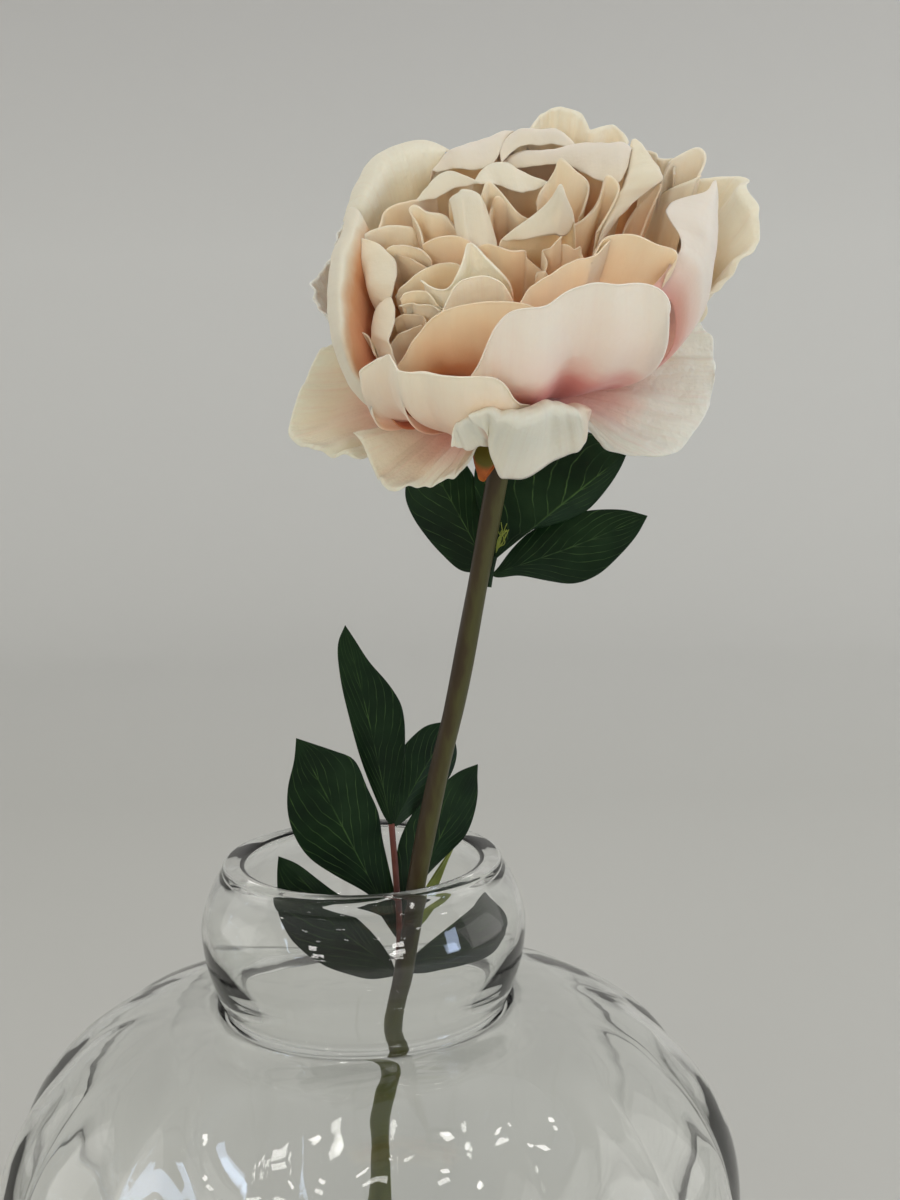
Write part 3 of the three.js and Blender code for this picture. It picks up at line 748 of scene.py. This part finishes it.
def petal(name, turn, lip, crest=None, foot=(4, 4), belly=3.2, lift=0, lean=-8, pull=1.2, fan=30,
          curl=1.0, ripple=0.35, pleats=0.25, dents=(), cells=(22, 18)):
    """A petal from its foot on the receptacle over its crest to its lip.

    belly: how many times its own spread it sets out sideways with, or how far at its sides and in its
    middle. lift: how far up that is. lean: degrees outwards from upright at the crest. pull: how
    strongly that shapes it. fan: how far its foot turns to each side. curl: how far the lip rolls
    outwards, where no crest is given. ripple and pleats: how uneven it is all over and lengthwise.
    dents: hollows, as their place across and along, their two sizes and their depth.
    """
    edge = through([seen(*point) for point in lip])
    bend = through([seen(*point) for point in crest]) if crest else edge
    outward, sideways = around(turn, 1, 0), around(turn + 90, 1, 0)
    backwards = (bend(1) - bend(0)).dot(sideways) < 0
    tilt = math.radians(lean)
    phase = random.Random(name).uniform(0, 6)
    upright = Vector((0, 0, 1))
    width = (edge(1) - edge(0)).length + 4

    def place(u, v):
        share = (1 - u if backwards else 1 + u) / 2
        top, end = bend(share), edge(share)
        start = around(turn + fan * u, *foot)
        chord = top - start
        flat = Vector((chord.x, chord.y, 0))
        away = flat.normalized() if flat.length > FLAT_ENOUGH else outward
        if isinstance(belly, tuple):
            swell = away * (belly[1] + (belly[0] - belly[1]) * u * u)
        else:
            swell = flat * belly
        heading = upright * math.cos(tilt) + away * math.sin(tilt)
        inwards = heading.cross(Vector((-away.y, away.x, 0)))
        if crest:
            last = (end - top) * LIP_PULL - upright * LIP_DROP * (end - top).length
        else:
            roll = curl * (1 + CURL_CHANGE * noise.noise(Vector((u * width / CURL_LENGTH, phase, 7))))
            top = end + inwards * roll * 0.8 - heading * roll * 0.8
            last = heading * roll * 0.5 - inwards * roll
        if v < CREST_AT:
            arriving = heading * chord.length * pull
            spot = hermite(start, swell + upright * lift, top, arriving, v / CREST_AT)
        else:
            over = heading * max((end - top).length, 1.0) * LIP_PULL
            spot = hermite(top, over, end, last, (v - CREST_AT) / (1 - CREST_AT))
        rough = noise.noise(spot / ROUGH_LENGTH + Vector((phase, 0, 0)))
        rough += 0.4 * noise.noise(spot / FINE_LENGTH)
        frill = smooth(v, 0.5, 1) * noise.noise(Vector((u * width / FRILL_LENGTH, phase, 0)))
        wave = ripple * (smooth(v, 0.25, CREST_AT) * (2.2 * rough + math.sin(6 * u + phase)) + 1.6 * frill)
        pleat = noise.noise(Vector((u * width / PLEAT_LENGTH, 1.3 * v, phase + 3)))
        wave += pleats * smooth(v, 0.15, 0.6) * pleat
        hollow = sum(depth * math.exp(-((u - at_u) / wide)**2 - ((v / CREST_AT - at_v) / high)**2)
                     for at_u, at_v, wide, high, depth in dents)
        return in_bloom(spot + inwards * (hollow - wave))

    piece = grid(name, *cells, place)
    thicken(piece, PETAL_THICKNESS)
    return piece


# Each petal by the photo pixels of its outline and their height over the heart. The lip is its free edge.
# Where the petal bends over before it, crest is the bend.
GUARD = dict(foot=(5, 0.5), belly=1.3, lift=12, lean=70, pull=0.8, finish="guard", curl=0.5, ripple=1.1,
             pleats=1.6, cells=(44, 24))
GUARD_PETALS = {
    "droop_right": dict(turn=335, lift=18, lean=95, pleats=2.4, lip=[
        (591, 414, -1), (597, 430, -3), (607, 441, -4), (625, 451, -5), (642, 456, -5), (662, 456, -4),
        (682, 446, -2), (702, 423, 2), (712, 392, 7), (713, 357, 12), (710, 330, 17), (702, 318, 20),
        (690, 316, 22), (678, 322, 23)]),
    "droop_front": dict(turn=280, lean=60, belly=1.4, lift=4, pull=0.7, pleats=0.4, ripple=0.7,
                        finish="flap", crest=[
        (468, 418, 33), (485, 414, 34), (502, 415, 34), (530, 411, 34), (552, 405, 33), (570, 406, 32),
        (580, 402, 31), (589, 405, 29)],
        lip=[(474, 423, 31), (484, 434, 27), (489, 449, 19), (494, 464, 12), (507, 478, 5), (530, 474, 5),
             (552, 467, 6), (574, 457, 9), (585, 441, 15), (588, 422, 22), (590, 408, 27)]),
    "front_flap": dict(turn=250, lean=60, pull=0.7, pleats=0.2, ripple=0.5, finish="flap", crest=[
        (453, 434, 24), (457, 425, 27), (464, 417, 30), (474, 416, 31), (486, 420, 30)],
        lip=[(451, 443, 20), (455, 446, 19), (468, 447, 18), (482, 447, 18), (493, 446, 17)]),
    "droop_left": dict(turn=190, finish="muted", lift=14, lean=80, lip=[
        (333, 345, 14), (318, 358, 9), (303, 385, 4), (290, 425, -2), (295, 440, -3), (312, 453, -3),
        (330, 452, -2), (347, 450, -1), (363, 452, 0)]),
    "droop_low_left": dict(turn=232, finish="muted", lift=12, lean=80, lip=[
        (352, 440, 4), (366, 452, 2), (378, 468, 0), (386, 488, 0), (399, 498, -1), (414, 491, -2),
        (440, 481, -3), (466, 465, -3), (478, 450, -2)]),
    "right_outer": dict(turn=12, finish="cream", belly=1.9, lift=4, lean=25, pull=1.1, curl=1.5, lip=[
        (700, 180, 46), (722, 177, 49), (743, 178, 50), (752, 190, 51), (757, 213, 50), (752, 232, 47),
        (744, 252, 44), (732, 273, 40), (716, 298, 35), (702, 314, 30), (684, 322, 26)]),
    "top_back": dict(turn=72, finish="cream", belly=2.2, lean=20, pull=1.1, curl=1.2, lip=[
        (528, 134, 46), (535, 122, 48), (545, 113, 49), (558, 109, 50), (572, 110, 50), (585, 116, 49),
        (592, 129, 47), (600, 127, 48), (611, 125, 48), (621, 130, 47), (632, 142, 45)]),
    "left_sliver": dict(turn=172, belly=2.2, pleats=0.5, lean=10, pull=1.1, lip=[
        (346, 226, 36), (333, 245, 35), (322, 272, 33), (319, 298, 31), (324, 322, 28), (334, 346, 24)]),
}
BOWL = dict(foot=(5, 3.5), belly=2.7, lift=-6, lean=-6, pull=1.2, finish="bowl", cells=(30, 20), curl=0.5)
BOWL_PETALS = {
    "bowl_front_left": dict(turn=252, belly=(62, 96), lift=-4, lean=-2, pull=1.1,
                            dents=[(-0.62, 0.9, 0.16, 0.5, 2.0)], lip=[
        (394, 372, 41), (402, 375, 42), (420, 376, 43), (445, 377, 44), (470, 379, 44), (493, 380, 43),
        (505, 387, 40), (512, 397, 36), (521, 405, 32), (531, 408, 29)]),
    "bowl_small_left": dict(turn=222, belly=2.2, lift=0, pull=1.1, lip=[
        (372, 400, 21), (364, 386, 25), (363, 371, 31), (374, 362, 36), (385, 357, 39), (393, 363, 40),
        (400, 373, 40)]),
    "left_band": dict(turn=190, belly=2.3, lean=20, finish="band", crest=[
        (364, 219, 46), (355, 243, 45), (348, 262, 44), (345, 282, 43), (344, 308, 40), (346, 338, 36),
        (352, 358, 31), (359, 374, 27), (371, 390, 22), (384, 407, 17)],
        lip=[(350, 207, 42), (341, 232, 41), (334, 257, 40), (329, 280, 39), (327, 308, 36),
             (330, 335, 32), (338, 360, 27), (348, 382, 22), (365, 401, 16), (386, 416, 10)]),
    "back_left": dict(turn=135, finish="cream", belly=2.1, lean=14, crest=[
        (362, 219, 42), (368, 203, 44), (376, 190, 45), (390, 177, 46), (408, 166, 47), (425, 159, 47),
        (445, 155, 47)],
        lip=[(344, 224, 37), (348, 203, 39), (357, 181, 41), (370, 162, 43), (390, 149, 45),
             (410, 141, 46), (428, 141, 47), (443, 147, 47), (454, 154, 46)]),
    "ridge_left": dict(turn=112, lean=-20, finish="ridge", crest=[
        (430, 170, 45), (443, 158, 46), (457, 148, 48), (470, 142, 48), (485, 138, 49), (502, 132, 50),
        (515, 131, 50)],
        lip=[(437, 172, 45), (448, 170, 46), (460, 171, 47), (477, 170, 47), (493, 163, 48),
             (501, 150, 49), (506, 140, 49)]),
    "ridge_mid": dict(turn=92, lean=-20, finish="ridge", crest=[
        (497, 145, 47), (508, 136, 49), (520, 130, 50), (536, 129, 51), (552, 130, 51), (565, 136, 51),
        (578, 147, 50)],
        lip=[(501, 163, 48), (510, 153, 49), (521, 147, 50), (535, 145, 50), (552, 146, 50),
             (570, 149, 50), (580, 152, 49)]),
    "ridge_right": dict(turn=70, lean=-24, finish="ridge", crest=[
        (500, 166, 45), (510, 157, 47), (524, 152, 48), (545, 149, 49), (570, 147, 50), (590, 144, 51),
        (610, 142, 53), (625, 141, 54), (634, 148, 54)],
        lip=[(506, 170, 46), (518, 170, 46), (532, 168, 47), (552, 164, 48), (572, 169, 49),
             (588, 177, 50), (605, 184, 50), (620, 182, 51), (628, 168, 52)]),
    "right_strip": dict(turn=40, lean=10, belly=2.2, finish="crown", crest=[
        (632, 141, 54), (632, 152, 53), (629, 170, 51), (622, 188, 49), (613, 205, 46), (606, 221, 43),
        (600, 236, 41), (590, 258, 36)],
        lip=[(636, 139, 55), (645, 146, 55), (653, 158, 54), (663, 179, 53), (650, 190, 50),
             (633, 204, 47), (618, 217, 44), (604, 233, 41)]),
    "right_point_small": dict(turn=48, lip=[
        (640, 150, 49), (650, 152, 50), (657, 154, 51), (665, 159, 52), (674, 160, 52), (676, 175, 50)]),
    "right_point": dict(turn=34, lean=6, lip=[
        (664, 178, 49), (670, 163, 52), (680, 156, 54), (690, 151, 55), (700, 148, 56), (704, 154, 55),
        (702, 166, 53), (699, 182, 50)]),
    "right_ring": dict(turn=22, lean=12, curl=1.4, finish="crown", lip=[
        (645, 240, 35), (648, 224, 37), (653, 209, 40), (662, 196, 43), (674, 188, 47), (690, 182, 50),
        (703, 176, 52)]),
    "right_white": dict(turn=344, lean=-14, belly=1.6, lift=8, finish="side", crest=[
        (716, 180, 60), (715, 200, 59), (716, 221, 57), (713, 241, 55), (709, 259, 52), (701, 277, 50),
        (689, 296, 46), (676, 309, 42)],
        lip=[(712, 181, 60), (703, 192, 60), (686, 196, 59), (672, 201, 58), (667, 213, 58),
             (675, 233, 57), (679, 245, 56), (672, 262, 54), (660, 279, 51), (650, 290, 49)]),
    "bowl_front_right": dict(turn=298, lean=-10, belly=(58, 105), lift=50, pull=0.95, finish="outer",
                             cells=(36, 22), curl=0.7,
                             dents=[(0.06, 0.5, 0.15, 0.3, 5), (0.55, 0.7, 0.25, 0.3, -1.5),
                                    (-0.45, 0.7, 0.22, 0.3, -1.5)], lip=[
        (471, 378, 37), (480, 364, 42), (488, 345, 48), (498, 325, 54), (514, 312, 59), (532, 309, 61),
        (547, 308, 61), (560, 298, 63), (575, 288, 65), (595, 283, 66), (620, 286, 66), (645, 285, 65),
        (662, 291, 64), (669, 304, 61), (669, 316, 57), (663, 328, 52), (652, 339, 47)]),
}
INNER = dict(foot=(3, 8), belly=1.8, lift=18, lean=4, pull=1.0, cells=(20, 16), finish="inner", curl=0.4)
INNER_PETALS = {
    "front_peach": dict(turn=258, finish="throat", lean=-4, belly=2.2, cells=(28, 16), lip=[
        (398, 368, 27), (406, 358, 31), (417, 337, 38), (430, 321, 43), (450, 310, 48), (480, 304, 51),
        (500, 303, 52), (520, 305, 53), (540, 312, 52)]),
    "left_twist": dict(turn=180, finish="crown", crest=[
        (356, 240, 43), (359, 255, 41), (363, 272, 39), (369, 288, 37), (379, 304, 34)],
        lip=[(366, 240, 45), (380, 244, 45), (390, 254, 44), (396, 270, 42), (396, 285, 40),
             (388, 303, 36)]),
    "left_twist_low": dict(turn=203, finish="crown", crest=[
        (386, 300, 36), (375, 309, 34), (370, 321, 32), (373, 337, 29), (376, 354, 25), (382, 370, 20)],
        lip=[(392, 296, 38), (395, 311, 37), (395, 328, 35), (393, 345, 32), (397, 361, 28),
             (401, 374, 24)]),
    "left_cup": dict(turn=204, belly=2.4, lip=[
        (346, 352, 24), (346, 338, 28), (354, 333, 30), (364, 333, 30), (371, 342, 28), (375, 356, 25)]),
    "upper_left_back": dict(turn=150, finish="throat", lip=[
        (377, 230, 44), (382, 217, 45), (388, 209, 46), (398, 204, 46), (412, 201, 45), (436, 198, 43)]),
    "upper_left": dict(turn=160, finish="crown", lip=[
        (359, 241, 43), (366, 232, 44), (380, 227, 45), (403, 226, 45), (419, 232, 43)]),
    "ribbon_left": dict(turn=128, finish="crown", lean=-10, crest=[
        (410, 207, 44), (419, 195, 45), (425, 186, 46), (434, 177, 47), (447, 172, 48), (460, 173, 49),
        (474, 179, 49)],
        lip=[(412, 206, 44), (423, 200, 45), (436, 197, 46), (453, 191, 47), (468, 185, 48),
             (480, 182, 49)]),
    "ribbon_right": dict(turn=92, finish="crown", lean=-10, crest=[
        (470, 182, 48), (481, 171, 48), (493, 165, 48), (507, 164, 48), (520, 170, 48), (533, 176, 48),
        (550, 182, 47)],
        lip=[(480, 183, 49), (490, 183, 49), (499, 187, 48), (508, 191, 48), (519, 193, 48),
             (535, 190, 47), (549, 185, 47)]),
    "folded": dict(turn=124, finish="crown", lean=0, crest=[
        (448, 201, 50), (452, 194, 52), (462, 191, 53), (472, 191, 53), (480, 196, 52), (485, 204, 50)],
        lip=[(458, 240, 45), (464, 245, 45), (474, 248, 45), (486, 250, 44), (500, 248, 43)]),
    "left_lip": dict(turn=164, lip=[
        (421, 244, 43), (418, 232, 45), (413, 219, 47), (408, 209, 49), (416, 204, 50), (426, 212, 49),
        (444, 216, 48), (455, 226, 46), (461, 238, 44)]),
    "left_round": dict(turn=205, finish="throat", lip=[
        (420, 246, 43), (433, 240, 46), (448, 236, 48), (463, 238, 48), (474, 245, 46), (484, 256, 43)]),
    "left_fan": dict(turn=215, lip=[
        (394, 298, 36), (398, 291, 38), (407, 283, 40), (420, 272, 43), (433, 265, 44), (447, 263, 44),
        (460, 266, 43), (470, 272, 41)]),
    "left_line": dict(turn=178, lip=[
        (384, 252, 43), (391, 246, 45), (404, 245, 45), (418, 248, 44), (428, 258, 42), (434, 268, 39)]),
    "left_line_low": dict(turn=188, finish="throat", lip=[
        (388, 264, 40), (394, 255, 42), (405, 259, 42), (418, 264, 41), (432, 272, 39)]),
    "white_curl": dict(turn=245, finish="flap", curl=1.2, lip=[
        (416, 281, 42), (428, 288, 43), (443, 291, 44), (453, 285, 47), (459, 271, 50), (462, 257, 53),
        (465, 243, 56), (474, 249, 54), (485, 259, 52), (498, 271, 50), (508, 283, 47), (512, 300, 43)]),
    "white_ball": dict(turn=252, finish="flap", belly=2.6, lip=[
        (444, 313, 41), (448, 299, 45), (456, 286, 48), (470, 278, 50), (486, 277, 50), (498, 283, 49),
        (507, 293, 47), (514, 305, 44)]),
    "left_roll": dict(turn=214, finish="crown", curl=1.8, lip=[
        (397, 307, 38), (408, 305, 39), (425, 306, 40), (441, 311, 40)]),
    "left_bud": dict(turn=210, lip=[
        (399, 301, 39), (406, 294, 41), (418, 292, 42), (430, 298, 42), (442, 311, 39)]),
    "low_left_a": dict(turn=222, finish="throat", lip=[
        (394, 322, 33), (402, 316, 35), (413, 315, 36), (426, 322, 36)]),
    "low_left_b": dict(turn=225, lip=[(391, 350, 28), (396, 338, 31), (408, 331, 33), (424, 325, 34)]),
    "centre_front": dict(turn=258, finish="throat", lip=[
        (477, 247, 45), (484, 243, 46), (496, 247, 47), (509, 250, 47), (523, 251, 46), (534, 262, 43),
        (542, 274, 39)]),
    "tip_white": dict(turn=62, finish="crown", lean=-12, crest=[
        (500, 241, 45), (514, 228, 48), (530, 217, 50), (545, 205, 53), (553, 194, 56), (560, 183, 59),
        (567, 193, 57), (573, 208, 53), (575, 222, 50)],
        lip=[(506, 242, 45), (517, 240, 46), (530, 238, 47), (545, 237, 48), (557, 236, 48),
             (567, 236, 47), (572, 228, 48)]),
    "tip_back": dict(turn=60, lip=[
        (537, 205, 44), (541, 192, 47), (549, 182, 49), (556, 170, 53), (560, 158, 56), (570, 167, 54),
        (580, 176, 51), (587, 184, 49), (586, 203, 45), (582, 216, 42)]),
    "triangle": dict(turn=98, lip=[
        (480, 210, 44), (483, 193, 49), (487, 181, 51), (498, 191, 49), (514, 209, 46), (530, 221, 42)]),
    "triangle_in": dict(turn=100, finish="throat", lip=[
        (488, 218, 44), (492, 206, 46), (497, 195, 49), (507, 207, 46), (519, 220, 43)]),
    "crinkle_left": dict(turn=20, cells=(14, 14), lip=[
        (547, 277, 40), (547, 262, 43), (546, 251, 45), (553, 249, 46), (559, 241, 48), (568, 237, 49)]),
    "crinkle_right": dict(turn=0, cells=(14, 14), lip=[
        (556, 252, 44), (563, 244, 46), (571, 245, 46), (576, 251, 44), (579, 246, 45), (584, 254, 43),
        (586, 264, 40)]),
    "crumb": dict(turn=290, finish="crown", cells=(8, 12), lip=[
        (537, 277, 41), (541, 271, 43), (547, 273, 43), (551, 281, 40)]),
    "right_peach_left": dict(turn=300, finish="throat", cells=(24, 16), lip=[
        (520, 304, 48), (533, 287, 51), (552, 273, 53), (575, 262, 55), (592, 257, 56), (603, 244, 58),
        (612, 238, 58)]),
    "right_peach": dict(turn=330, finish="throat", cells=(24, 16), lip=[
        (592, 264, 54), (598, 248, 57), (606, 237, 59), (622, 234, 60), (640, 237, 60), (655, 245, 59),
        (676, 253, 57), (666, 274, 53)]),
    "right_band_pink": dict(turn=28, finish="throat", lip=[
        (622, 236, 38), (632, 215, 42), (645, 199, 46), (662, 184, 50), (656, 200, 47), (648, 216, 43),
        (642, 238, 38)]),
    "right_leaf": dict(turn=50, lip=[
        (574, 226, 42), (586, 219, 44), (596, 205, 47), (602, 188, 50), (609, 174, 53), (621, 185, 51),
        (612, 206, 47), (600, 232, 42)]),
}


def make_petals(finishes):
    for whorl, node, slot, common, table in (
        ("guard", "guard_petals", "white_petal", GUARD, GUARD_PETALS),
        ("bowl", "bowl_petals", "blush_petal", BOWL, BOWL_PETALS),
        ("inner", "inner_petals", "peach_petal", INNER, INNER_PETALS),
    ):
        for name, own in table.items():
            shape = {**common, **own}
            finish = finishes[shape.pop("finish")]
            finish_piece(petal(name, **shape), node, finish)


# ---------- making it all

make_camera()
make_room()
make_lights()
make_vase(glass_finish())
make_stem(stem_finish())
make_calyx(moulded_finish("tinted_polyethylene_calyx", "#4a4a08", "#6b6a1a"),
           moulded_finish("orange_polyethylene_sepal", "#9c4a0c", "#c8741c", root="#5a5608"))
make_leaves(leaf_finish(), moulded_finish("red_brown_wrapped_wire", "#54261d", "#6e382c"),
            moulded_finish("yellow_green_polyester", "#6f7a2a", "#8f9a3a"))
make_petals({
    "guard": petal_finish("cream_soft_touch_petal", "#d98f8a", "#e6b7ae", "#ebe4d6", "#ecebdc",
                          places=(0.1, 0.32, 0.5, 0.7), veins=0.22, creases=2.2),
    "cream": petal_finish("ivory_edged_soft_touch_petal", "#d38a70", "#e4b08a", "#ead4b2", "#ebe1c8",
                          places=(0.1, 0.38, 0.6, 0.78), veins=0.12, creases=0.8),
    # A darker, duller cream than the other guard petals, for the droops at the lower left.
    "muted": petal_finish("darker_cream_soft_touch_petal", "#c98a7c", "#dba795", "#dcc8ae", "#dfdac2",
                          places=(0.1, 0.36, 0.6, 0.8), veins=0.25, creases=1.2),
    "flap": petal_finish("pale_soft_touch_petal", "#d98f8a", "#e2ab92", "#fbf0d4", "#faf1d6",
                         places=(0.1, 0.32, 0.5, 0.7), veins=0.1, blush=(0.8, 1.0), creases=0.8),
    "outer": petal_finish("white_soft_touch_petal", "#c05f60", "#dd948f", "#efd6c9", "#ede2d2",
                          places=(0.14, 0.36, 0.52, 0.74)),
    "side": petal_finish("side_soft_touch_petal", "#c76f70", "#d98c86", "#efd8ca", "#ede2d2",
                         places=(0.1, 0.36, 0.6, 0.78), blush=(0.3, 0.0)),
    "bowl": petal_finish("blush_soft_touch_petal", "#d28a78", "#e6a98f", "#f0d3ba", "#eee1c9",
                         places=(0.1, 0.38, 0.58, 0.78)),
    # The ridge's tip colour, a little darker and peachier than its lip, is painted shade where the lip
    # turns under the crest.
    "ridge": petal_finish("pink_white_soft_touch_petal", "#c24e22", "#ecae84", "#f4d1b0", "#f6e5d2",
                          "#f2dfc4", places=(0.1, 0.5, 0.68, 0.8)),
    # The band's foot, throat and body are far darker than the other petals': partly its own deeper foot
    # colour, partly painted shade of the deep pocket behind the left band.
    "band": petal_finish("deep_foot_and_pocket_shade_soft_touch_petal", "#8b3d25", "#b06440", "#cf9468", "#ebdfc6",
                         places=(0.15, 0.5, 0.7, 0.82)),
    "inner": petal_finish("peach_soft_touch_petal", "#c64c1c", "#e9a070", "#f2cba4", "#f2dfc0"),
    "throat": petal_finish("apricot_soft_touch_petal", "#c04c1e", "#e6a070", "#f0c8a4", "#f0d6b6"),
    "crown": petal_finish("ivory_soft_touch_petal", "#c64c1c", "#eca870", "#f3d0a6", "#f3e5c8"),
})
